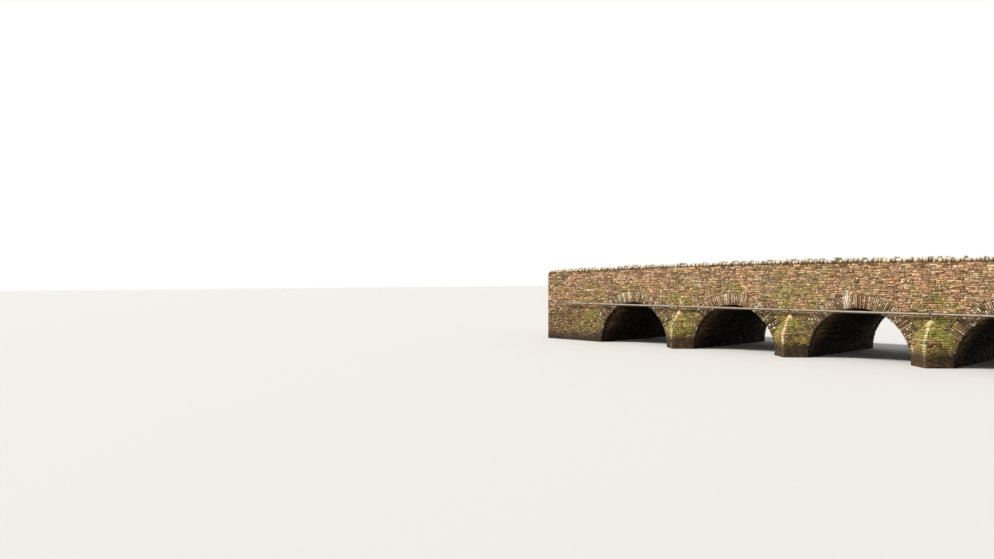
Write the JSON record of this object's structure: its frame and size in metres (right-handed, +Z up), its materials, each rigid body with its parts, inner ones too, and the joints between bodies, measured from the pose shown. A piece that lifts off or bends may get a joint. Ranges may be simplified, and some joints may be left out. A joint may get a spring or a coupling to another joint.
{
  "type": "stone arch bridge",
  "caption": "Gently humped rubble stone road bridge on low piers, with round arches, pointed cutwaters on both sides, parapets with rough copes, and a service pipe along one face.",
  "frame": {"origin": "middle of the bridge at the foot of its middle pier, at the level where the masonry meets the water", "axes": "+X along the bridge, +Z up, and -Y towards the face that carries the pipe"},
  "size_m": [24, 6.76, 3.5194],
  "materials": {
    "wall_stone": "rough, weathered slate rubble in lime mortar",
    "ring_stone": "rough, thin slabs on edge",
    "vault_stone": "rough, damp and dark",
    "pier_stone": "rough, damp at the water",
    "cutwater_stone": "rough, with moss",
    "cope_stone": "rough, pale with lichen",
    "rubble_fill": "rough",
    "road": "worn, rough",
    "pipe": "weathered, matt",
    "bracket": "rusted"
  },
  "bodies": {
    "root": {"arch_barrel_1": "vault_stone", "arch_barrel_2": "vault_stone", "arch_barrel_3": "vault_stone", "arch_barrel_4": "vault_stone", "back_arch_ring_1": "ring_stone", "back_arch_ring_2": "ring_stone", "back_arch_ring_3": "ring_stone", "back_arch_ring_4": "ring_stone", "back_cope": "cope_stone", "back_cutwater_1": "cutwater_stone", "back_cutwater_2": "cutwater_stone", "back_cutwater_3": "cutwater_stone", "back_left_wing_wall": "wall_stone", "back_parapet": "wall_stone", "back_right_wing_wall": "wall_stone", "back_spandrel_wall": "wall_stone", "front_arch_ring_1": "ring_stone", "front_arch_ring_2": "ring_stone", "front_arch_ring_3": "ring_stone", "front_arch_ring_4": "ring_stone", "front_cope": "cope_stone", "front_cutwater_1": "cutwater_stone", "front_cutwater_2": "cutwater_stone", "front_cutwater_3": "cutwater_stone", "front_left_wing_wall": "wall_stone", "front_parapet": "wall_stone", "front_right_wing_wall": "wall_stone", "front_spandrel_wall": "wall_stone", "left_abutment": "pier_stone", "left_pipe_bend": "pipe", "pier_1": "pier_stone", "pier_2": "pier_stone", "pier_3": "pier_stone", "pipe_bracket_1": "bracket", "pipe_bracket_2": "bracket", "pipe_bracket_3": "bracket", "pipe_bracket_4": "bracket", "pipe_bracket_5": "bracket", "right_abutment": "pier_stone", "right_pipe_bend": "pipe", "road_surface": "road", "rubble_fill": "rubble_fill", "service_pipe": "pipe"}
  },
  "joints": []
}
